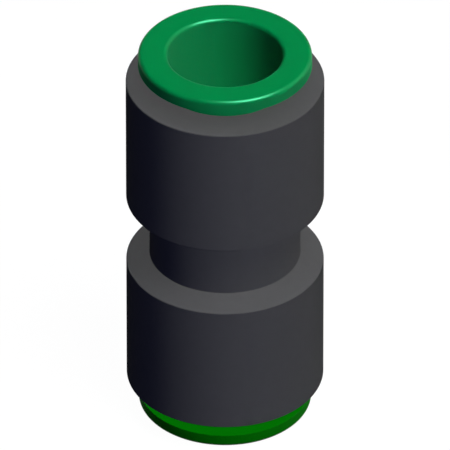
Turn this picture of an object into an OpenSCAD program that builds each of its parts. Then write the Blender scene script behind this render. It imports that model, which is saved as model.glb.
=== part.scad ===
// Straight push-fit union for two 12 mm tubes, all sizes in millimetres.
// The axis of the union is Z and its middle plane is z = 0. The two ends are mirror images, so each
// piece of an end is drawn once for the upper end, between the tube stop and the release flange.

/* [Tube] */
// Outside diameter of the tube that each end takes
tube_d = 12; // [11.4:0.1:12.4]
// Radial play of the tube in the socket, the spacer ring and the collet
tube_play = 0.15; // [0.1:0.01:0.25]
// Diameter of the flow bore through the tube stop
flow_d = 9; // [6:0.5:10]
// Thickness of the tube stop in the middle of the body
stop_t = 2; // [1.2:0.1:3.4]
// Length of the plain socket between the tube stop and the seal chamber
socket_len = 4.4; // [4:0.1:5.6]
// Width of the lead-in that guides the end of the tube into the socket
lead_in = 0.4; // [0.2:0.05:0.6]

/* [Body] */
// Diameter of the two drums
body_d = 21.2; // [20.2:0.1:26]
// Length of the body from end face to end face
body_len = 38.2; // [36:0.1:46]
// Diameter of the waist between the drums
waist_d = 16.2; // [14.6:0.1:19]
// Distance between the rims of the drums, across the waist
waist_len = 8.2; // [4:0.1:9]
// Height by which each shoulder slopes from the rim of its drum to the waist
shoulder_rise = 0.95; // [0.1:0.05:1.5]
// Radius on the outer edges of the moulded body
body_edge = 0.15; // [0.05:0.05:0.5]

/* [Seal] */
// Cord diameter of the O-ring
seal_cord = 2; // [1.7:0.1:2.2]
// Radial bite of the free O-ring on the tube
seal_grip = 0.05; // [0.02:0.01:0.07]
// Radial squeeze of the O-ring against the wall of its chamber
seal_squeeze = 0.2; // [0.1:0.05:0.3]
// Room for the O-ring to spread, before it and behind it
seal_room = 0.3; // [0.1:0.05:0.6]
// Chamfer at the mouth of the seal chamber, past which the O-ring is pressed in
seal_chamfer = 0.3; // [0.1:0.05:0.4]
// Thickness of the ring between the O-ring and the collet
spacer_t = 1.2; // [0.8:0.1:1.8]
// Radial play of the spacer ring on its seat
spacer_play = 0.05; // [0.03:0.01:0.15]

/* [Retaining insert] */
// Wall of the insert round the gripping fingers
insert_wall = 0.8; // [0.5:0.1:1.1]
// Length of the bore that guides the neck of the collet
guide_len = 2.6; // [1.6:0.1:3.4]
// Half angle of the taper that closes the fingers on the tube
taper_deg = 22; // [16:1:30]
// Chamfer at the mouth of the guide bore
guide_chamfer = 0.1; // [0.05:0.05:0.3]

/* [Release collet] */
// Diameter of the push flange
flange_d = 18.6; // [17:0.1:20]
// Thickness of the push flange
flange_t = 1.5; // [1.2:0.1:3]
// Gap between the flange and the end of the body at rest
release_gap = 2; // [1:0.1:2.4]
// Radius on the outer rim of the flange and on the mouth of its bore
flange_round = 0.5; // [0.2:0.05:0.55]
// Radius on the rim of the flange that faces the body
flange_edge = 0.1; // [0.05:0.05:0.3]
// Wall of the neck
neck_wall = 0.5; // [0.4:0.05:0.8]
// Radial play of the neck in its guide bore and of the finger heads in the taper
neck_play = 0.1; // [0.06:0.01:0.2]
// Height by which the finger heads stand out from the neck
barb_h = 1.15; // [0.9:0.05:1.5]
// Radial room in which the fingers open when the collet is pushed in
finger_spread = 0.3; // [0.2:0.05:0.6]
// Chamfer on the inner end of the finger heads
head_chamfer = 0.3; // [0.1:0.05:0.5]
// Width of the slots between the fingers
slot_w = 1.8; // [1:0.1:2.4]
// Distance from the face of the flange to the top of the slots
slot_depth = 6.9; // [5.5:0.1:8]
// Play that is left behind the flange when the collet is fully in
stop_play = 0.05; // [0.03:0.01:0.2]
// Play that is left at the spacer ring when the collet is fully in
end_play = 0.25; // [0.15:0.05:0.6]

/* [Grip blades] */
// Thickness of the steel blades
blade_t = 0.35; // [0.25:0.05:0.5]
// Length of a blade from its biting edge to its root
blade_len = 1.4; // [1:0.1:1.6]
// Width of a blade as an angle round the tube
blade_arc = 50; // [30:1:60]
// Lean of a blade away from the mouth of the union
blade_lean = 35; // [20:1:45]
// Radial bite of the blades on the tube
blade_bite = 0.05; // [0.02:0.01:0.07]
// Height of the biting edge above the inner end of the finger heads
blade_inset = 0.6; // [0.5:0.05:0.9]
// Length of the ground bevel that ends in the biting edge
blade_bevel = 0.5; // [0.3:0.05:0.7]
// Depth of the notches that part the biting edge into teeth
notch_depth = 0.3; // [0.15:0.05:0.4]
// Gap between a blade and the plastic moulded round it
blade_fit = 0.02; // [0.01:0.01:0.04]

/* [Hidden] */
$fn = 96;

// Each collet has four fingers, with a blade in each
fingers = 4;
finger_pitch = 360 / fingers;
// Teeth on the biting edge of a blade
blade_teeth = 5;
// Overshoot of a cut past the face that it opens
over = 0.5;
// Film that keeps the pressed O-ring off the wall of its chamber
seal_film = 0.02;

// Radii, from the tube outwards
tube_r = tube_d / 2;
flow_r = flow_d / 2;
bore_r = tube_r + tube_play;
neck_r = bore_r + neck_wall;
guide_r = neck_r + neck_play;
head_r = neck_r + barb_h;
cavity_r = head_r + finger_spread;
insert_r = cavity_r + insert_wall;
body_r = body_d / 2;
waist_r = waist_d / 2;
flange_r = flange_d / 2;
seal_r = seal_cord / 2;
seal_mid_r = tube_r - seal_grip + seal_r;
chamber_r = seal_mid_r + seal_r - seal_squeeze;
blade_edge_r = tube_r - blade_bite;

// Heights above the middle plane, from the tube stop to the face of the flange
stop_z = stop_t / 2;
chamber_z = stop_z + socket_len;
seal_z = chamber_z + seal_room + seal_r;
seat_z = chamber_z + seal_cord + 2 * seal_room;
insert_z = seat_z + spacer_t;
end_z = body_len / 2;
rim_z = waist_len / 2;
waist_z = rim_z - shoulder_rise;
shoulder_deg = atan(shoulder_rise / (body_r - waist_r));
taper_top_z = end_z - guide_len;
taper_end_z = taper_top_z - (cavity_r - guide_r) / tan(taper_deg);
barb_z = taper_top_z - (head_r - neck_r) / tan(taper_deg);
release_travel = release_gap - stop_play;
head_end_z = insert_z + release_travel + end_play;
flange_z = end_z + release_gap;
face_z = flange_z + flange_t;
slot_top_z = face_z - slot_depth;
blade_z = head_end_z + blade_inset;

// The sharp corner at [x, y], cut away outside a round of radius r. The piece lies towards
// dx and dy, which are 1 or -1. Its face along x slopes outwards by so many degrees.
module corner(x, y, dx, dy, r, slope = 0) {
    mid_x = x + dx * r;
    mid_y = y + dy * r * (1 - sin(slope)) / cos(slope);
    reach = r + over;
    difference() {
        polygon([
            [mid_x, mid_y],
            [mid_x - dx * r * sin(slope), mid_y - dy * r * cos(slope)],
            [mid_x - dx * reach * sin(slope), mid_y - dy * reach * cos(slope)],
            [x - dx * over, mid_y - dy * reach * cos(slope)],
            [x - dx * over, mid_y]
        ]);
        translate([mid_x, mid_y])
            circle(r);
    }
}

// What is bored out of one end of the body: the socket with its lead-in, the seal chamber with the
// seat of the spacer ring, and the bore that holds the retaining insert.
module end_bores() {
    polygon([
        [flow_r - over, stop_z],
        [bore_r, stop_z],
        [bore_r, chamber_z - 2 * lead_in],
        [bore_r + lead_in, chamber_z],
        [chamber_r, chamber_z],
        [chamber_r, seat_z - seal_chamfer],
        [chamber_r + seal_chamfer, seat_z],
        [insert_r, seat_z],
        [insert_r, end_z + over],
        [flow_r - over, end_z + over]
    ]);
}

// What is left open round the waist, between the sloping shoulders of the drums
module waist_gap() {
    polygon([
        [waist_r, -waist_z],
        [body_r, -rim_z],
        [body_r + over, -rim_z],
        [body_r + over, rim_z],
        [body_r, rim_z],
        [waist_r, waist_z]
    ]);
}

// Body: two drums and a waist, moulded in one piece
module body() {
    color([0.21, 0.21, 0.23])
        rotate_extrude()
            difference() {
                translate([flow_r, -end_z])
                    square([body_r - flow_r, body_len]);
                waist_gap();
                for (half = [0, 1])
                    mirror([0, half]) {
                        end_bores();
                        corner(body_r, end_z, -1, -1, body_edge);
                        corner(body_r, rim_z, -1, 1, body_edge, shoulder_deg);
                    }
            }
}

// Retaining insert, pressed and welded flush into the end of the body
module retaining_insert() {
    color([0.21, 0.21, 0.23])
        rotate_extrude()
            polygon([
                [cavity_r, insert_z],
                [insert_r, insert_z],
                [insert_r, end_z],
                [guide_r + guide_chamfer, end_z],
                [guide_r, end_z - guide_chamfer],
                [guide_r, taper_top_z],
                [cavity_r, taper_end_z]
            ]);
}

// O-ring as it sits: round towards the tube, pressed flat against the wall of its chamber
module o_ring() {
    color([0.06, 0.06, 0.06])
        rotate_extrude()
            intersection() {
                translate([seal_mid_r, seal_z])
                    circle(seal_r);
                translate([0, chamber_z])
                    square([chamber_r - seal_film, seat_z - chamber_z]);
            }
}

// Spacer ring, held on its seat by the insert
module spacer_ring() {
    color([0.78, 0.76, 0.70])
        rotate_extrude()
            polygon([
                [bore_r, seat_z],
                [insert_r - spacer_play, seat_z],
                [insert_r - spacer_play, insert_z],
                [bore_r + lead_in, insert_z],
                [bore_r, insert_z - lead_in]
            ]);
}

// Section of the collet: flange, neck and barbed finger heads
module collet_section() {
    difference() {
        polygon([
            [bore_r, head_end_z],
            [head_r - head_chamfer, head_end_z],
            [head_r, head_end_z + head_chamfer],
            [head_r, barb_z],
            [neck_r, taper_top_z],
            [neck_r, flange_z],
            [flange_r, flange_z],
            [flange_r, face_z],
            [bore_r, face_z]
        ]);
        corner(flange_r, face_z, -1, -1, flange_round);
        corner(flange_r, flange_z, -1, 1, flange_edge);
        corner(bore_r, face_z, 1, -1, flange_round);
    }
}

// Slot between two fingers, open at their ends and round at its top
module finger_slot() {
    rotate([90, 0, 90])
        linear_extrude(height = head_r + over) {
            translate([0, slot_top_z - slot_w / 2])
                circle(slot_w / 2);
            translate([-slot_w / 2, head_end_z - over])
                square([slot_w, slot_top_z - slot_w / 2 - head_end_z + over]);
        }
}

// Plane of a blade: x runs from the biting edge to the root, y across the thickness
module on_blade() {
    translate([blade_edge_r, blade_z])
        rotate(blade_lean)
            children();
}

// Slit in a finger head that holds the root of a blade
module blade_slit() {
    half_arc = blade_arc / 2 + blade_fit / bore_r * 180 / PI;
    rotate(-half_arc)
        rotate_extrude(angle = 2 * half_arc)
            on_blade()
                translate([-over, -blade_fit])
                    square([blade_len + over + blade_fit, blade_t + 2 * blade_fit]);
}

// Steel blade: a leaning sector of a cone, ground to an edge and notched into teeth
module grip_blade(number) {
    color([0.72, 0.73, 0.75])
        rotate((number - 1) * finger_pitch)
            difference() {
                rotate(-blade_arc / 2)
                    rotate_extrude(angle = blade_arc)
                        on_blade()
                            polygon([
                                [0, 0],
                                [blade_len, 0],
                                [blade_len, blade_t],
                                [blade_bevel, blade_t]
                            ]);
                for (notch = [1 : blade_teeth - 1])
                    rotate((notch / blade_teeth - 0.5) * blade_arc)
                        translate([blade_edge_r, 0, blade_z - over])
                            cylinder(r = notch_depth, h = blade_len + over, $fn = 4);
            }
}

// Release collet, moulded in one piece round its four blades
module release_collet(shade) {
    color(shade)
        difference() {
            rotate_extrude()
                collet_section();
            for (finger = [0 : fingers - 1])
                rotate(finger * finger_pitch) {
                    blade_slit();
                    rotate(finger_pitch / 2)
                        finger_slot();
                }
        }
}

// The same piece at the lower end
module at_lower_end() {
    mirror([0, 0, 1])
        children();
}

body();

retaining_insert();  // upper_retaining_insert
o_ring();  // upper_o_ring
spacer_ring();  // upper_spacer_ring
release_collet([0, 0.52, 0.27]);  // upper_release_collet
grip_blade(1);  // upper_grip_blade_1
grip_blade(2);  // upper_grip_blade_2
grip_blade(3);  // upper_grip_blade_3
grip_blade(4);  // upper_grip_blade_4

at_lower_end() retaining_insert();  // lower_retaining_insert
at_lower_end() o_ring();  // lower_o_ring
at_lower_end() spacer_ring();  // lower_spacer_ring
at_lower_end() release_collet([0, 0.42, 0.01]);  // lower_release_collet
at_lower_end() grip_blade(1);  // lower_grip_blade_1
at_lower_end() grip_blade(2);  // lower_grip_blade_2
at_lower_end() grip_blade(3);  // lower_grip_blade_3
at_lower_end() grip_blade(4);  // lower_grip_blade_4
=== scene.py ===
"""Push-fit union for 12 mm tube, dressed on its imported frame.

Each piece is a surface worked out from the union's sizes. A round piece is a closed profile of
radius and height turned about the axis, and the lower end is the upper end mirrored.
"""

import math

import bmesh
import bpy
import numpy as np
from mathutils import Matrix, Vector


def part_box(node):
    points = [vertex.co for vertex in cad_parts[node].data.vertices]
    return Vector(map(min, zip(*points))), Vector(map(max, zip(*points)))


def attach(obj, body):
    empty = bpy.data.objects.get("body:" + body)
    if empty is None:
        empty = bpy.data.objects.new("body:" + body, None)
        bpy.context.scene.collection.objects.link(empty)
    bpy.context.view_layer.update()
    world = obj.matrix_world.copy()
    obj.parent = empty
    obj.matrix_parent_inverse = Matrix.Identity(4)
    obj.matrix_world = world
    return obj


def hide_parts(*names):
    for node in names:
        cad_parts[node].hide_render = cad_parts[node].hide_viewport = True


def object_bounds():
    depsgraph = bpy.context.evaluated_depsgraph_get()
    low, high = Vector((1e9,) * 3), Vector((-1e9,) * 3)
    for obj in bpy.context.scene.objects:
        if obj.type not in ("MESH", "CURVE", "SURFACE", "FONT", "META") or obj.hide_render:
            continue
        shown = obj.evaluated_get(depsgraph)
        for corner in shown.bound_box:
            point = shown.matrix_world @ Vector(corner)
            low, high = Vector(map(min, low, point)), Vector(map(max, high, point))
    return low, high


bl_info = {
    "name": "Push-fit union",
    "version": (1, 0, 0),
    "blender": (4, 5, 0),
    "location": "3D View > Sidebar > Union",
    "description": "Builds a push-fit union for plastic tube on its packed frame",
    "category": "Add Mesh",
}

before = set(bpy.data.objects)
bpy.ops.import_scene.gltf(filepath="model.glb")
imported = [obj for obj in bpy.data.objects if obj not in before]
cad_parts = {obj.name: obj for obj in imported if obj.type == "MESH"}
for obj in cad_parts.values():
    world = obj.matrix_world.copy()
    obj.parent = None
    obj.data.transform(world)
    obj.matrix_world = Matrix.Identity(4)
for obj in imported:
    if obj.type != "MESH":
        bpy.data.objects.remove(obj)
CAD_BOX = [list(corner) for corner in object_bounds()]

MM = 0.001
FINGERS = 4
TEETH = 5
SIDES = (("upper", 1), ("lower", -1))

SEGMENTS = 256  # steps round a whole turn
CORNER_STEPS = 8  # steps round a corner
LIP_STEPS = 12  # steps round a corner of a collet
CORD_STEPS = 64  # steps round the cord of a seal
SOFT = 0.1 * MM  # rounding of a moulded corner
CRISP = 0.05 * MM  # rounding of the edge of a lead-in or of a pressed seat
SAME_POINT = 1e-7  # metres, and points that are closer are one
SHARP_ANGLE = math.radians(30)  # a steeper edge is shaded as a crease
LENGTHS = "Lengths"  # the UV map that holds lengths along the surface

# Lowest and highest corners of the boxes of the CAD pieces
BODY_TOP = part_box("body")[1]
INSERT_FOOT, INSERT_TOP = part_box("upper_retaining_insert")
SEAL_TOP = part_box("upper_o_ring")[1]
SPACER_FOOT, SPACER_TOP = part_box("upper_spacer_ring")
COLLET_FOOT, COLLET_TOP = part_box("upper_release_collet")
BLADE_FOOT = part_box("upper_grip_blade_1")[0]


# Settings


def size(name, description, default):
    """A length in metres that a user may change."""
    return bpy.props.FloatProperty(
        name=name, description=description, default=default, min=0, precision=5, unit="LENGTH"
    )


def linear(code):
    """Linear RGB of an sRGB hex colour: each part is v / 12.92 up to 0.04045, and above that
    (v + 0.055) / 1.055 to the power 2.4."""
    parts = np.array([int(code[k : k + 2], 16) for k in (1, 3, 5)]) / 255
    return np.where(parts <= 0.04045, parts / 12.92, ((parts + 0.055) / 1.055) ** 2.4).tolist()


def colour(name, description, code):
    """A colour that a user may change."""
    return bpy.props.FloatVectorProperty(
        name=name, description=description, default=linear(code), size=3, min=0, max=1,
        subtype="COLOR",
    )


class UnionSizes(bpy.types.PropertyGroup):
    """Radii, and heights above the middle plane, of the union's upper half."""

    body_radius: size("Body radius", "Radius of the two drums", BODY_TOP[0])
    body_height: size("Body height", "Height of the end face", BODY_TOP[2])
    waist_radius: size("Waist radius", "Radius of the waist", 8.1 * MM)
    waist_height: size("Waist height", "Height that the waist reaches", 3.15 * MM)
    rim_height: size("Rim height", "Height of the rim where a shoulder starts", 4.1 * MM)
    body_edge: size("Body edge", "Rounding of the outer edges", 0.15 * MM)
    flow_radius: size("Flow radius", "Radius of the way through the tube stop", 4.5 * MM)
    stop_height: size("Stop height", "Height that the end of the tube rests at", 1 * MM)
    bore_radius: size("Bore radius", "Radius that the tube slides in", 6.15 * MM)
    lead_in: size("Lead-in", "Width of the chamfers that guide the tube", 0.4 * MM)
    chamber_height: size("Chamber height", "Height of the floor under the seal", 5.4 * MM)
    chamber_radius: size("Chamber radius", "Radius of the wall round the seal", 7.75 * MM)
    chamber_chamfer: size("Chamber chamfer", "Chamfer at the mouth of the chamber", 0.3 * MM)
    seal_radius: size("Seal radius", "Radius of the cord of the O-ring", 1 * MM)
    seal_middle: size("Seal middle", "Radius of the middle of the cord", 6.95 * MM)
    seal_height: size("Seal height", "Height of the middle of the cord", 6.7 * MM)
    seal_wall: size("Seal wall", "Radius that the cord is flattened to", SEAL_TOP[0])
    spacer_radius: size("Spacer radius", "Radius of the spacer ring", SPACER_TOP[0])
    seat_height: size("Seat height", "Height of the foot of the spacer ring", SPACER_FOOT[2])
    insert_radius: size("Insert radius", "Radius of the retaining insert", INSERT_TOP[0])
    insert_height: size("Insert height", "Height of the foot of the insert", INSERT_FOOT[2])
    cavity_radius: size("Cavity radius", "Radius of the space round the fingers", 8.1 * MM)
    guide_radius: size("Guide radius", "Radius of the bore that guides the neck", 6.75 * MM)
    taper_foot: size("Taper foot", "Height of the wide end of the taper", 13.159 * MM)
    taper_top: size("Taper top", "Height of the narrow end of the taper", 16.5 * MM)
    neck_radius: size("Neck radius", "Radius of the neck of the collet", 6.65 * MM)
    head_radius: size("Head radius", "Radius of the finger heads", 7.8 * MM)
    head_foot: size("Head foot", "Height of the ends of the fingers", COLLET_FOOT[2])
    head_chamfer: size("Head chamfer", "Chamfer at the ends of the fingers", 0.3 * MM)
    barb_height: size("Barb height", "Height at which the barb starts to taper", 13.654 * MM)
    slot_width: size("Slot width", "Width of the slots between the fingers", 1.8 * MM)
    slot_height: size("Slot height", "Height of the round tops of the slots", 15.7 * MM)
    flange_radius: size("Flange radius", "Radius of the push flange", COLLET_TOP[0])
    flange_height: size("Flange height", "Height of the flange's underside", 21.1 * MM)
    face_height: size("Face height", "Height of the face that is pressed", COLLET_TOP[2])
    lip_round: size("Lip rounding", "Rounding of both edges of the face", 0.5 * MM)
    flange_edge: size("Flange edge", "Rounding of the flange's under edge", 0.02 * MM)
    blade_radius: size("Blade radius", "Radius of the biting edge", 5.95 * MM)
    blade_height: size("Blade height", "Height of the biting edge", BLADE_FOOT[2])
    blade_length: size("Blade length", "Length from the edge to the root", 1.4 * MM)
    blade_thickness: size("Blade thickness", "Thickness of the steel strip", 0.35 * MM)
    blade_bevel: size("Blade bevel", "Length ground away behind the edge", 0.5 * MM)
    notch_depth: size("Notch depth", "Depth of the notches between teeth", 0.3 * MM)
    blade_arc: bpy.props.FloatProperty(
        name="Blade arc", description="Angle that a blade spans", default=math.radians(50),
        min=0, subtype="ANGLE",
    )
    blade_lean: bpy.props.FloatProperty(
        name="Blade lean", description="Slope of a blade", default=math.radians(35),
        min=0, subtype="ANGLE",
    )


class UnionColours(bpy.types.PropertyGroup):
    """Colours of the union's finishes."""

    body: colour("Body", "Charcoal of the body and its inserts", "#4D4D4E")
    upper_collet: colour("Upper collet", "Emerald green of the upper collet", "#007F40")
    lower_collet: colour("Lower collet", "Leaf green of the lower collet", "#027103")
    spacer: colour("Spacer", "White of the spacer rings", "#DCD9CF")
    seal: colour("Seal", "Black of the O-rings", "#161616")
    steel: colour("Steel", "Bright steel of the blades", "#D6D8DB")
    floor: colour("Floor", "Floor and backdrop", "#FFFFFF")


# Meshes


def rounded(corners, steps=CORNER_STEPS):
    """Closed profile through corners (radius, height, rounding). At a corner whose half angle is
    h, an arc of radius q has its centre q / sin h up the bisector and touches both edges q / tan h
    from the corner. Its points are the two touching spokes, mixed by the sines of their shares of
    the swing between them. A corner without a rounding is one point."""
    corners, radii = np.split(np.array(corners), [2], axis=1)
    back, ahead = np.roll(corners, 1, 0) - corners, np.roll(corners, -1, 0) - corners
    back /= np.linalg.norm(back, axis=1, keepdims=True)
    ahead /= np.linalg.norm(ahead, axis=1, keepdims=True)
    half = np.arccos((back * ahead).sum(1, keepdims=True)) / 2
    bisector = (back + ahead) / (2 * np.cos(half))
    centre = corners + bisector * radii / np.sin(half)
    start = corners + back * radii / np.tan(half) - centre
    end = corners + ahead * radii / np.tan(half) - centre
    swing = (math.pi - 2 * half)[:, None]
    share = np.linspace(0, 1, steps + 1)[None, :, None]
    arc = start[:, None] * np.sin((1 - share) * swing) + end[:, None] * np.sin(share * swing)
    points = (centre[:, None] + arc / np.sin(swing)).reshape(-1, 2)
    return points[np.linalg.norm(points - np.roll(points, 1, 0), axis=1) > SAME_POINT]


def grid(points, round_rows=False, round_columns=False):
    """Quads over a grid of points, joined end to end in a round direction, with their UVs, which
    are the mean lengths in metres along the rows' and the columns' directions."""
    rows, columns = points.shape[:2]
    row, column = np.meshgrid(
        np.arange(rows - (not round_rows)), np.arange(columns - (not round_columns)), indexing="ij"
    )
    corners = [(row, column), (row + 1, column), (row + 1, column + 1), (row, column + 1)]
    quads = np.stack([(a % rows) * columns + b % columns for a, b in corners], -1)
    steps = [np.linalg.norm(np.roll(points, -1, axis) - points, axis=2) for axis in (0, 1)]
    along = np.append(0, steps[0].mean(1).cumsum())
    across = np.append(0, steps[1].mean(0).cumsum())
    uvs = np.stack([np.stack([along[a], across[b]], -1) for a, b in corners], -2)
    return points.reshape(-1, 3), quads.reshape(-1, 4), uvs.reshape(-1, 4, 2)


def turned(sections, angles):
    """Points of sections (radius, height), each at its angle: x = radius cos angle, y = radius
    sin angle."""
    radius, height, angles = np.broadcast_arrays(sections[..., 0], sections[..., 1], angles)
    return np.stack([radius * np.cos(angles), radius * np.sin(angles), height], -1)


def revolved(profile):
    """A closed profile turned all the way about the axis."""
    angles = np.linspace(0, 2 * math.pi, SEGMENTS, endpoint=False)[:, None]
    return grid(turned(profile[None], angles), True, True)


def add_piece(name, grids, material, node, side=1, turn=0):
    """Joins grids into one mesh, merges the points that they share and puts it in its node's
    place. Side -1 mirrors it to the lower end, and turn turns it about the axis."""
    points, quads, uvs = zip(*grids)
    starts = np.cumsum([0, *map(len, points)])
    quads = np.concatenate([faces + start for faces, start in zip(quads, starts)])
    spin = np.array([
        [math.cos(turn), math.sin(turn), 0], [-math.sin(turn), math.cos(turn), 0], [0, 0, side]
    ])
    points = np.concatenate(points) @ spin
    # The corners of a mirrored face go round the other way, so that it still points outwards
    quads, uvs = quads[:, ::side], np.concatenate(uvs)[:, ::side]
    mesh = bpy.data.meshes.new(name)
    mesh.from_pydata(points.tolist(), [], quads.tolist(), shade_flat=False)
    mesh.uv_layers.new(name=LENGTHS).uv.foreach_set("vector", uvs.ravel())
    work = bmesh.new()
    work.from_mesh(mesh)
    bmesh.ops.remove_doubles(work, verts=work.verts, dist=SAME_POINT)
    work.to_mesh(mesh)
    work.free()
    mesh.set_sharp_from_angle(angle=SHARP_ANGLE)
    mesh.materials.append(material)
    piece = bpy.data.objects.new(name, mesh)
    bpy.context.scene.collection.objects.link(piece)
    weighted = piece.modifiers.new("flat_faces_stay_flat", "WEIGHTED_NORMAL")
    weighted.keep_sharp = True
    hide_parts(node)
    return piece


# Materials


def add(tree, kind, inputs=None, **settings):
    """Adds a node with its settings. An input that is given a socket is linked to it."""
    node = tree.nodes.new(kind)
    for key, value in settings.items():
        setattr(node, key, value)
    for key, value in (inputs or {}).items():
        if isinstance(value, bpy.types.NodeSocket):
            tree.links.new(value, node.inputs[key])
        else:
            node.inputs[key].default_value = value
    return node


def per_mm(feature):
    """Scale of a texture whose features are that many millimetres across."""
    return 1 / (feature * MM)


def moulded(name, tone, contrast, mottle, grain, relief, rough, specular, drawn=0):
    """A moulded finish. Its colour is mottled by the contrast, in patches of mottle mm, its
    surface is raised by relief mm in grains of grain mm, and its roughness runs over rough. Walls
    along Z, which slide out of the mould and are scuffed by it, are rougher than that by
    drawn."""
    material = bpy.data.materials.new(name)
    material.use_nodes = True
    tree = material.node_tree
    shader = tree.nodes["Principled BSDF"]
    coordinates = add(tree, "ShaderNodeTexCoord").outputs
    place = coordinates["Object"]
    patches = add(tree, "ShaderNodeTexNoise",
                  {"Vector": place, "Scale": per_mm(mottle), "Detail": 5, "Roughness": 0.6})
    # Inputs 6 and 7 of a colour mix are its two colours, and output 2 is their mix
    shade = add(tree, "ShaderNodeMix",
                {"Factor": patches.outputs["Fac"],
                 6: [part * (1 - contrast) for part in tone] + [1],
                 7: [min(1, part * (1 + contrast)) for part in tone] + [1]},
                data_type="RGBA")
    gloss = add(tree, "ShaderNodeMapRange",
                {"Value": patches.outputs["Fac"], "From Min": 0.3, "From Max": 0.7,
                 "To Min": rough[0], "To Max": rough[1]})
    # The scuffing is full where a surface is within 3 degrees of Z, and gone at 20
    rise = add(tree, "ShaderNodeSeparateXYZ", {"Vector": coordinates["Normal"]}).outputs["Z"]
    slope = add(tree, "ShaderNodeMath", {0: rise}, operation="ABSOLUTE").outputs[0]
    wall = add(tree, "ShaderNodeMapRange",
               {"Value": slope, "From Min": 0.05, "From Max": 0.35, "To Min": 1, "To Max": 0})
    roughness = add(tree, "ShaderNodeMath",
                    {0: wall.outputs["Result"], 1: drawn, 2: gloss.outputs["Result"]},
                    operation="MULTIPLY_ADD")
    grains = add(tree, "ShaderNodeTexNoise",
                 {"Vector": place, "Scale": per_mm(grain), "Detail": 2, "Roughness": 0.5})
    bump = add(tree, "ShaderNodeBump",
               {"Height": grains.outputs["Fac"], "Strength": 1, "Distance": relief * MM})
    tree.links.new(shade.outputs[2], shader.inputs["Base Color"])
    tree.links.new(roughness.outputs[0], shader.inputs["Roughness"])
    tree.links.new(bump.outputs["Normal"], shader.inputs["Normal"])
    shader.inputs["Specular IOR Level"].default_value = specular
    return material


def glass_filled_nylon(tone):
    """Glass filled nylon, moulded against a spark-eroded cavity: satin and hardly reflecting,
    dull on its drawn walls, with a fine even grain, and faintly mottled where fibres lie near the
    skin. The real grain is about 0.05 mm across and is shown at 0.25 mm, so that it is seen."""
    return moulded("glass_filled_nylon", tone, contrast=0.06, mottle=0.9, grain=0.25,
                   relief=0.004, rough=(0.62, 0.68), specular=0.004, drawn=0.32)


def coloured_acetal(name, tone, tint):
    """Coloured acetal, moulded against a polished cavity: smooth and softly glossy, dull on its
    drawn walls, with the slight waves of cooling."""
    material = moulded(name, tone, contrast=0.03, mottle=2.5, grain=1.6, relief=0.006,
                       rough=(0.29, 0.33), specular=0.05, drawn=0.5)
    shader = material.node_tree.nodes["Principled BSDF"]
    shader.inputs["Specular Tint"].default_value = [*linear(tint), 1]
    return material


def natural_acetal(tone):
    """Natural acetal, moulded: milky white and satin."""
    return moulded("natural_acetal", tone, contrast=0.02, mottle=2, grain=0.8, relief=0.004,
                   rough=(0.38, 0.45), specular=0.4)


def seal_rubber(tone):
    """EPDM rubber, pressed in a polished mould: black and satin, with a faint dusty bloom."""
    return moulded("epdm_rubber", tone, contrast=0.25, mottle=0.7, grain=0.2, relief=0.006,
                   rough=(0.5, 0.7), specular=0.35)


def rolled_steel(tone):
    """Stainless spring steel strip: bright, with the fine lines of rolling along the blade. The
    real lines are about 0.01 mm apart and are drawn at 0.04 mm, so that they show."""
    material = bpy.data.materials.new("rolled_stainless_steel")
    material.use_nodes = True
    tree = material.node_tree
    shader = tree.nodes["Principled BSDF"]
    lengths = add(tree, "ShaderNodeUVMap", uv_map=LENGTHS).outputs["UV"]
    # The lines are drawn out about 30 times along the blade
    rolled = add(tree, "ShaderNodeMapping", {"Vector": lengths, "Scale": (0.03, 1, 1)})
    lines = add(tree, "ShaderNodeTexNoise",
                {"Vector": rolled.outputs["Vector"], "Scale": per_mm(0.04), "Detail": 2})
    gloss = add(tree, "ShaderNodeMapRange",
                {"Value": lines.outputs["Fac"], "To Min": 0.18, "To Max": 0.4})
    bump = add(tree, "ShaderNodeBump",
               {"Height": lines.outputs["Fac"], "Strength": 1, "Distance": 0.002 * MM})
    tree.links.new(gloss.outputs["Result"], shader.inputs["Roughness"])
    tree.links.new(bump.outputs["Normal"], shader.inputs["Normal"])
    shader.inputs["Base Color"].default_value = [*tone, 1]
    shader.inputs["Metallic"].default_value = 1
    return material


def seen_directly(tree):
    """1 for the rays that show a background: the camera's, reflected and refracted ones."""
    path = add(tree, "ShaderNodeLightPath").outputs
    either = add(tree, "ShaderNodeMath",
                 {0: path["Is Camera Ray"], 1: path["Is Glossy Ray"]}, operation="MAXIMUM")
    return add(tree, "ShaderNodeMath",
               {0: either.outputs[0], 1: path["Is Transmission Ray"]},
               operation="MAXIMUM").outputs[0]


# Operators


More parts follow.
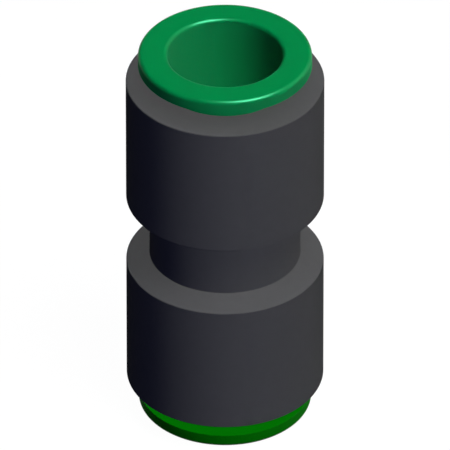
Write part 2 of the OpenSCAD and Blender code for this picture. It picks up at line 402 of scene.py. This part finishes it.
class UNION_OT_body(bpy.types.Operator):
    """Builds the body: two drums and a waist, with the tube stop and the chambers inside"""

    bl_idname = "union.body"
    bl_label = "Body"

    def execute(self, context):
        sizes = context.scene.union_sizes
        # From the tube stop out along one end, as (radius, height, rounding)
        end = [
            (sizes.flow_radius, sizes.stop_height, SOFT),
            (sizes.bore_radius, sizes.stop_height, SOFT),
            (sizes.bore_radius, sizes.chamber_height - 2 * sizes.lead_in, SOFT),
            (sizes.bore_radius + sizes.lead_in, sizes.chamber_height, CRISP),
            (sizes.chamber_radius, sizes.chamber_height, SOFT),
            (sizes.chamber_radius, sizes.seat_height - sizes.chamber_chamfer, 0),
            (sizes.chamber_radius + sizes.chamber_chamfer, sizes.seat_height, 0),
            (sizes.insert_radius, sizes.seat_height, 0),
            (sizes.insert_radius, sizes.body_height, 0),
            (sizes.body_radius, sizes.body_height, sizes.body_edge),
            (sizes.body_radius, sizes.rim_height, sizes.body_edge),
            (sizes.waist_radius, sizes.waist_height, SOFT),
        ]
        lower = np.array(end) * (1, -1, 1)
        profile = rounded(np.concatenate([lower, end[::-1]]))
        material = glass_filled_nylon(context.scene.union_colours.body)
        piece = add_piece("union_body", [revolved(profile)], material, "body")
        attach(piece, "fitting")
        return {"FINISHED"}


class UNION_OT_retaining_inserts(bpy.types.Operator):
    """Builds the two inserts that guide the collets and close their fingers"""

    bl_idname = "union.retaining_inserts"
    bl_label = "Retaining inserts"

    def execute(self, context):
        sizes = context.scene.union_sizes
        profile = rounded([
            (sizes.cavity_radius, sizes.insert_height, SOFT),
            (sizes.insert_radius, sizes.insert_height, CRISP),
            (sizes.insert_radius, sizes.body_height, 0),
            (sizes.guide_radius, sizes.body_height, 1.5 * SOFT),
            (sizes.guide_radius, sizes.taper_top, 2 * SOFT),
            (sizes.cavity_radius, sizes.taper_foot, 2 * SOFT),
        ])
        # The body's finish, which the body's operator has made
        material = bpy.data.materials["glass_filled_nylon"]
        for end, side in SIDES:
            piece = add_piece(
                f"{end}_guide_insert", [revolved(profile)], material,
                f"{end}_retaining_insert", side,
            )
            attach(piece, "fitting")
        return {"FINISHED"}


class UNION_OT_seals(bpy.types.Operator):
    """Builds the two O-rings, pressed flat where they touch the wall of their chamber"""

    bl_idname = "union.seals"
    bl_label = "O-rings"

    def execute(self, context):
        sizes = context.scene.union_sizes
        # A circle about the middle of the cord, held inside the wall
        angles = np.linspace(0, 2 * math.pi, CORD_STEPS, endpoint=False)
        radius = sizes.seal_middle + sizes.seal_radius * np.cos(angles)
        height = sizes.seal_height + sizes.seal_radius * np.sin(angles)
        profile = np.stack([np.minimum(radius, sizes.seal_wall), height], -1)
        material = seal_rubber(context.scene.union_colours.seal)
        for end, side in SIDES:
            piece = add_piece(
                f"{end}_seal_ring", [revolved(profile)], material, f"{end}_o_ring", side
            )
            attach(piece, "fitting")
        return {"FINISHED"}


class UNION_OT_spacers(bpy.types.Operator):
    """Builds the two spacer rings between the seals and the collets"""

    bl_idname = "union.spacers"
    bl_label = "Spacer rings"

    def execute(self, context):
        sizes = context.scene.union_sizes
        profile = rounded([
            (sizes.bore_radius, sizes.seat_height, SOFT),
            (sizes.spacer_radius, sizes.seat_height, SOFT),
            (sizes.spacer_radius, sizes.insert_height, SOFT),
            (sizes.bore_radius + sizes.lead_in, sizes.insert_height, CRISP),
            (sizes.bore_radius, sizes.insert_height - sizes.lead_in, CRISP),
        ])
        material = natural_acetal(context.scene.union_colours.spacer)
        for end, side in SIDES:
            piece = add_piece(
                f"{end}_support_ring", [revolved(profile)], material,
                f"{end}_spacer_ring", side,
            )
            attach(piece, "fitting")
        return {"FINISHED"}


class UNION_OT_collets(bpy.types.Operator):
    """Builds the two release collets: a push flange, a thin neck and four barbed fingers"""

    bl_idname = "union.collets"
    bl_label = "Release collets"

    WALL_POINTS = 5  # across the wall of a finger
    CHAMFER_LEVELS, HEAD_LEVELS, BARB_LEVELS, ROUND_LEVELS = 3, 7, 7, 13  # up a finger
    EMERALD_SHEEN, LEAF_SHEEN = "#6CFFC4", "#6CFF6C"  # tints of the gloss

    def reach(self, sizes, radius, height):
        """Angle from a finger's middle to its edge: half a finger's share of the turn, less the
        angle whose sine is half the slot's width over the radius. Half the width is w / 2 below
        the slot's round top, then w / 2 times the cosine of an angle whose sine is the rise into
        the round over w / 2."""
        half = sizes.slot_width / 2
        rise = np.clip((height - (sizes.slot_height - half)) / half, 0, 1)
        return math.pi / FINGERS - np.arcsin(half * np.sqrt(1 - rise**2) / radius)

    def execute(self, context):
        sizes = context.scene.union_sizes
        # Over the fingers: up the neck, round the flange and down the bore
        top = rounded([
            (sizes.neck_radius, sizes.taper_top, 0),
            (sizes.neck_radius, sizes.flange_height, 1.5 * SOFT),
            (sizes.flange_radius, sizes.flange_height, sizes.flange_edge),
            (sizes.flange_radius, sizes.face_height, sizes.lip_round),
            (sizes.bore_radius, sizes.face_height, sizes.lip_round),
            (sizes.bore_radius, sizes.slot_height, 0),
        ], LIP_STEPS)
        # Levels that the inner and the outer wall share along the slots, each of them once
        half = sizes.slot_width / 2
        chamfer_top = sizes.head_foot + sizes.head_chamfer
        levels = np.unique(np.concatenate([
            np.linspace(sizes.head_foot, chamfer_top, self.CHAMFER_LEVELS),
            np.linspace(chamfer_top, sizes.barb_height, self.HEAD_LEVELS),
            np.linspace(sizes.barb_height, sizes.slot_height - half, self.BARB_LEVELS),
            sizes.slot_height - half
            + half * np.sin(np.linspace(0, math.pi / 2, self.ROUND_LEVELS)),
        ]).round(9))
        outer = np.interp(
            levels,
            [sizes.head_foot, chamfer_top, sizes.barb_height, sizes.taper_top],
            [sizes.head_radius - sizes.head_chamfer, sizes.head_radius, sizes.head_radius,
             sizes.neck_radius],
        )
        # Rows of points through the wall at each level, from the bore outwards. The section goes
        # across the foot, up the outer wall, over the top and down the bore.
        radii = np.linspace(np.full(len(levels), sizes.bore_radius), outer, self.WALL_POINTS).T
        wall = np.stack(np.broadcast_arrays(radii, levels[:, None]), -1)
        section = np.concatenate([wall[0], wall[1:, -1], top, wall[-2:0:-1, 0]])
        share = np.linspace(0, 1, SEGMENTS // FINGERS + 1)[:, None]
        around = self.reach(sizes, *section.T) * (2 * share - 1)
        edge = self.reach(sizes, radii, levels[:, None])
        grids = []
        for finger in range(FINGERS):
            middle = finger * 2 * math.pi / FINGERS
            grids += [
                grid(turned(section[None], middle + around), round_columns=True),
                grid(turned(wall, middle + edge)),
                grid(turned(wall[:, ::-1], middle - edge[:, ::-1])),
            ]
        colours = context.scene.union_colours
        materials = {
            "upper": coloured_acetal("emerald_acetal", colours.upper_collet, self.EMERALD_SHEEN),
            "lower": coloured_acetal("leaf_green_acetal", colours.lower_collet, self.LEAF_SHEEN),
        }
        for end, side in SIDES:
            piece = add_piece(
                f"{end}_push_collet", grids, materials[end], f"{end}_release_collet", side
            )
            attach(piece, f"{end}_collet")
        return {"FINISHED"}


class UNION_OT_blades(bpy.types.Operator):
    """Builds the eight toothed steel blades that bite into the tube"""

    bl_idname = "union.blades"
    bl_label = "Grip blades"

    ARC_POINTS = 41  # along a blade

    def execute(self, context):
        sizes = context.scene.union_sizes
        # The strip runs from its tip along lean, which is (cos, sin) of its slope, and its
        # thickness lies along up, which is lean turned by a right angle
        lean = np.array([math.cos(sizes.blade_lean), math.sin(sizes.blade_lean)])
        up = np.array([-lean[1], lean[0]])
        tip = np.array([sizes.blade_radius, sizes.blade_height])
        root = tip + sizes.blade_length * lean
        back = root + sizes.blade_thickness * up
        heel = tip + sizes.blade_bevel * lean + sizes.blade_thickness * up
        # A notch is as deep as its half width less the distance along the arc to its middle
        notches = (np.arange(1, TEETH) / TEETH - 0.5) * sizes.blade_arc
        reach = sizes.notch_depth / sizes.blade_radius
        even = np.linspace(-0.5, 0.5, self.ARC_POINTS) * sizes.blade_arc
        angles = np.unique(
            np.concatenate([even, notches, notches - reach, notches + reach]).round(6)
        )
        near = abs(angles[:, None] - notches).min(1)
        cut = sizes.blade_radius + np.maximum(0, sizes.notch_depth - near * sizes.blade_radius)
        # The section's corners, held outside the notch: up the lower side, then down the upper
        low = np.stack([cut, np.interp(cut, [tip[0], root[0]], [tip[1], root[1]])], -1)
        upper_r, upper_z = np.array([tip, heel, back]).T
        behind = np.maximum(cut, heel[0])
        rows = [
            low,
            (low + root) / 2,
            np.broadcast_to(root, low.shape),
            np.broadcast_to(back, low.shape),
            np.stack([behind, np.interp(behind, upper_r, upper_z)], -1),
            np.stack([cut, np.interp(cut, upper_r, upper_z)], -1),
        ]
        points = turned(np.stack(rows, 1), angles[:, None])
        # An end is closed by quads between the three points of its lower and its upper side
        ends = [points[0, [[5, 4, 3], [0, 1, 2]]], points[-1, [[0, 1, 2], [5, 4, 3]]]]
        grids = [grid(points, round_columns=True), *(grid(end) for end in ends)]
        material = rolled_steel(context.scene.union_colours.steel)
        for end, side in SIDES:
            for number in range(FINGERS):
                piece = add_piece(
                    f"{end}_blade_{number + 1}", grids, material,
                    f"{end}_grip_blade_{number + 1}", side, number * 2 * math.pi / FINGERS,
                )
                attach(piece, f"{end}_collet")
        return {"FINISHED"}


class UNION_OT_stage(bpy.types.Operator):
    """Sets the floor, the lamps, the backdrop and the camera"""

    bl_idname = "union.stage"
    bl_label = "Stage"

    LAMP_DISTANCE = 2  # metres, like the camera's
    # Name, degrees right of the camera, degrees up, width in degrees, level on a facing surface,
    # colour, whether it casts shadows, and what it gives: all, or no gloss ("diffuse"), or only
    # gloss on the body, the inserts and the upper collet, or only gloss on the collets. The body
    # would hide the lower collet from the first of these two.
    LAMPS = (
        ("soft_key", 45, 62, 30, 0.22, "#FFFFFF", True, "all"),
        ("clear_key", 45, 62, 9, 0.99, "#FFFFFF", False, "all"),
        ("cool_fill", -5, 2, 30, 0.13, "#6A78FF", False, "all"),
        ("back_fill", 180, 2, 20, 0.5, "#FFFFFF", True, "diffuse"),
        ("glint", 45, 59, 37, 32, "#FFFFFF", False, "gloss"),
        ("side_glint", 103, 27, 60, 2.6, "#FFFFFF", False, "collet_gloss"),
    )
    CAMERA_DISTANCE = 2.0156
    CAMERA_LENS = 1503.5  # mm
    CAMERA_SHIFT = 0.0012  # share of the picture's width that the view is shifted up
    CAMERA_UP = math.degrees(math.atan(math.sqrt(0.5)))  # an even corner view
    FLOOR_RADIUS = 1.2
    FLOOR_STEPS = 96  # round the floor's rim
    FADE = (0.03, 0.12)  # distances over which the floor turns from partly matt to plain white
    NEAR_GLOW = 0.85  # share of plain white inside the first of them
    FLOOR_BOUNCE = [0.04, 0.04, 0.04, 1]  # colour of the floor to the light that it throws back
    AIR = [0.9, 0.95, 1, 1]  # colour of the dim light from all round
    AIR_LEVEL = 0.04
    HORIZON = 0.1  # sine of the angle above the horizon at which the backdrop has faded out

    def direction(self, azimuth, elevation):
        """Unit vector towards a point at those angles, seen from the origin. Azimuth 0 is the
        camera's side, and 90 its right."""
        azimuth, elevation = math.radians(azimuth), math.radians(elevation)
        level = math.cos(elevation)
        return np.array([
            math.sin(azimuth) * level, -math.cos(azimuth) * level, math.sin(elevation)
        ])

    def aim(self, name, data, azimuth, elevation, distance):
        """Places a lamp or camera at those angles, looking at the origin."""
        aimed = bpy.data.objects.new(name, data)
        bpy.context.scene.collection.objects.link(aimed)
        aimed.location = self.direction(azimuth, elevation) * distance
        aimed.rotation_mode = "XYZ"
        aimed.rotation_euler = (math.radians(90 - elevation), 0, math.radians(azimuth))
        return aimed

    def collected(self, name, pieces):
        """A collection of the named pieces, which some lamps light alone."""
        group = bpy.data.collections.new(name)
        for piece in pieces:
            group.objects.link(bpy.data.objects[piece])
        return group

    def floor(self, tone):
        """A round floor. Near the union it is partly a matt surface, which shows the shadow."""
        angles = np.linspace(0, 2 * math.pi, self.FLOOR_STEPS, endpoint=False)
        rim = turned(np.array([self.FLOOR_RADIUS, CAD_BOX[0][2]]), angles)
        mesh = bpy.data.meshes.new("floor")
        mesh.from_pydata(rim.tolist(), [], [range(self.FLOOR_STEPS)])
        material = bpy.data.materials.new("pale_floor")
        material.use_nodes = True
        tree = material.node_tree
        tree.nodes.clear()
        place = add(tree, "ShaderNodeTexCoord").outputs["Object"]
        away = add(tree, "ShaderNodeVectorMath", {0: place}, operation="LENGTH")
        glow = add(tree, "ShaderNodeMapRange",
                   {"Value": away.outputs["Value"], "From Min": self.FADE[0],
                    "From Max": self.FADE[1], "To Min": self.NEAR_GLOW, "To Max": 1})
        matt = add(tree, "ShaderNodeBsdfDiffuse", {"Color": [*tone, 1]})
        lit = add(tree, "ShaderNodeEmission", {"Color": [*tone, 1], "Strength": 1})
        shown = add(tree, "ShaderNodeMixShader",
                    {0: glow.outputs["Result"], 1: matt.outputs[0], 2: lit.outputs[0]})
        unseen = add(tree, "ShaderNodeBsdfDiffuse", {"Color": self.FLOOR_BOUNCE})
        both = add(tree, "ShaderNodeMixShader",
                   {0: seen_directly(tree), 1: unseen.outputs[0], 2: shown.outputs[0]})
        add(tree, "ShaderNodeOutputMaterial", {"Surface": both.outputs[0]})
        mesh.materials.append(material)
        floor = bpy.data.objects.new("floor", mesh)
        bpy.context.scene.collection.objects.link(floor)

    def backdrop(self, tone):
        """A world that shows the backdrop's colour, from below to just over the horizon, and
        gives only a dim light."""
        world = bpy.data.worlds.new("studio")
        world.use_nodes = True
        tree = world.node_tree
        tree.nodes.clear()
        dim = add(tree, "ShaderNodeBackground", {"Color": self.AIR, "Strength": self.AIR_LEVEL})
        shown = add(tree, "ShaderNodeBackground", {"Color": [*tone, 1], "Strength": 1})
        ray = add(tree, "ShaderNodeTexCoord").outputs["Generated"]
        height = add(tree, "ShaderNodeSeparateXYZ", {"Vector": ray}).outputs["Z"]
        below = add(tree, "ShaderNodeMapRange",
                    {"Value": height, "From Min": self.HORIZON, "From Max": 0,
                     "To Min": 0, "To Max": 1})
        share = add(tree, "ShaderNodeMath",
                    {0: seen_directly(tree), 1: below.outputs["Result"]}, operation="MULTIPLY")
        both = add(tree, "ShaderNodeMixShader",
                   {0: share.outputs[0], 1: dim.outputs[0], 2: shown.outputs[0]})
        add(tree, "ShaderNodeOutputWorld", {"Surface": both.outputs[0]})
        bpy.context.scene.world = world

    def execute(self, context):
        tone = context.scene.union_colours.floor
        self.floor(tone)
        self.backdrop(tone)
        dark_pieces = ["union_body", *(f"{end}_guide_insert" for end, _ in SIDES)]
        receivers = {
            "gloss": self.collected("glinting", ["upper_push_collet", *dark_pieces]),
            "collet_gloss": self.collected("collets", [f"{end}_push_collet" for end, _ in SIDES]),
        }
        for name, azimuth, elevation, width, level, tint, shadow, rays in self.LAMPS:
            light = bpy.data.lights.new(name, "AREA")
            light.shape = "DISK"
            light.size = 2 * self.LAMP_DISTANCE * math.tan(math.radians(width / 2))
            # The power that gives a facing white surface that share of white
            light.energy = level * (math.pi * self.LAMP_DISTANCE) ** 2
            light.color = linear(tint)
            light.use_shadow = shadow
            lamp = self.aim(name, light, azimuth, elevation, self.LAMP_DISTANCE)
            lamp.visible_camera = False
            lamp.visible_diffuse = rays not in receivers
            lamp.visible_glossy = rays != "diffuse"
            if rays in receivers:
                lamp.light_linking.receiver_collection = receivers[rays]
        lens = bpy.data.cameras.new("camera")
        lens.lens = self.CAMERA_LENS
        lens.shift_y = self.CAMERA_SHIFT
        lens.clip_end = 4 * self.CAMERA_DISTANCE
        context.scene.camera = self.aim("camera", lens, 0, self.CAMERA_UP, self.CAMERA_DISTANCE)
        context.scene.view_settings.view_transform = "Standard"
        return {"FINISHED"}


class UNION_PT_panel(bpy.types.Panel):
    """Lists the union's steps, sizes and colours"""

    bl_label = "Push-fit union"
    bl_idname = "UNION_PT_panel"
    bl_space_type = "VIEW_3D"
    bl_region_type = "UI"
    bl_category = "Union"

    def draw(self, context):
        for step in STEPS:
            self.layout.operator(step.bl_idname)
        for group in (context.scene.union_colours, context.scene.union_sizes):
            box = self.layout.box()
            for key in group.__annotations__:
                box.prop(group, key)


# Registration

STEPS = (
    UNION_OT_body,
    UNION_OT_retaining_inserts,
    UNION_OT_seals,
    UNION_OT_spacers,
    UNION_OT_collets,
    UNION_OT_blades,
    UNION_OT_stage,
)
CLASSES = (UnionSizes, UnionColours, *STEPS, UNION_PT_panel)


def register():
    for cls in CLASSES:
        bpy.utils.register_class(cls)
    bpy.types.Scene.union_sizes = bpy.props.PointerProperty(type=UnionSizes)
    bpy.types.Scene.union_colours = bpy.props.PointerProperty(type=UnionColours)


def unregister():
    del bpy.types.Scene.union_colours
    del bpy.types.Scene.union_sizes
    for cls in reversed(CLASSES):
        bpy.utils.unregister_class(cls)


def main():
    """Builds every piece and the stage."""
    register()
    for step in STEPS:
        getattr(bpy.ops.union, step.bl_idname.removeprefix("union."))()


if __name__ == "__main__":
    main()
